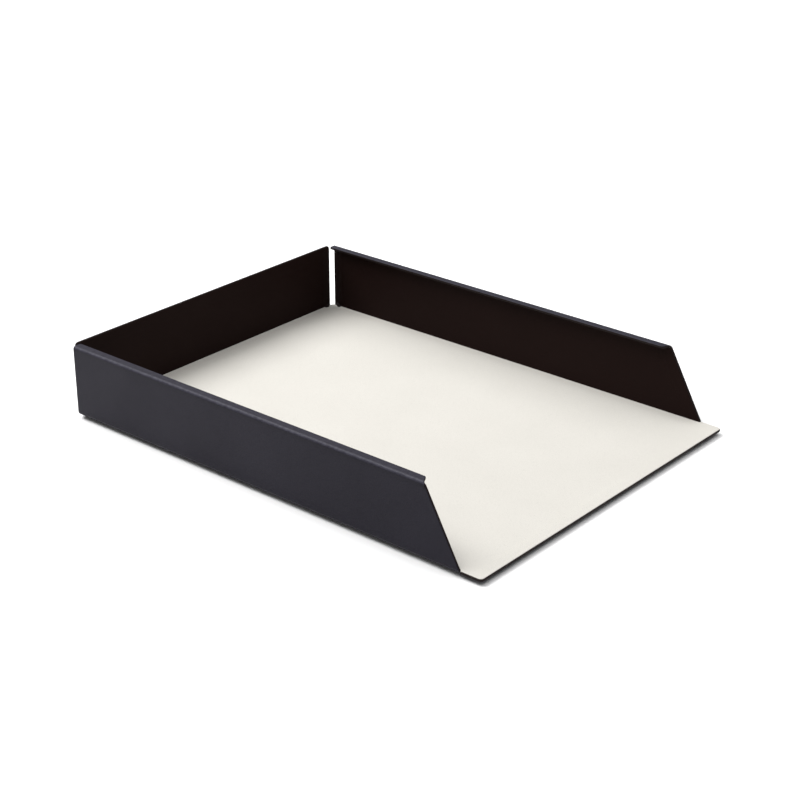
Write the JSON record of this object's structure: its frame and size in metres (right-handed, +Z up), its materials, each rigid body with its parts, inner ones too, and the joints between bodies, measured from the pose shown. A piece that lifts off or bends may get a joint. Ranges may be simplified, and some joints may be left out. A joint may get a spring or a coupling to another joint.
{
  "type": "letter tray",
  "caption": "Low open-front desk tray for A4 sheets: folded steel covered in dark leather, with a pale leather floor and inward lips along the side walls.",
  "frame": {"origin": "middle of the footprint, on the surface that the feet stand on", "axes": "+Y from the open front to the back wall, +X to the right for someone facing the open front, +Z up"},
  "size_m": [0.246, 0.33, 0.05],
  "materials": {
    "core_steel": "bare zinc-plated sheet, hidden inside the leather",
    "cover_leather": "anthracite, fine grain, matte with a faint sheen",
    "wall_lining_leather": "very dark brown, fine grain, matte",
    "floor_lining_leather": "ivory, fine grain, matte",
    "panel_microfibre": "black microfibre with a short nap",
    "foot_rubber": "black, matte"
  },
  "bodies": {
    "root": {"steel_core": "core_steel", "outer_cover": "cover_leather", "left_wall_lining": "wall_lining_leather", "right_wall_lining": "wall_lining_leather", "back_wall_lining": "wall_lining_leather", "floor_lining": "floor_lining_leather", "underside_panel": "panel_microfibre", "foot_front_left": "foot_rubber", "foot_front_right": "foot_rubber", "foot_rear_left": "foot_rubber", "foot_rear_right": "foot_rubber"}
  },
  "joints": []
}
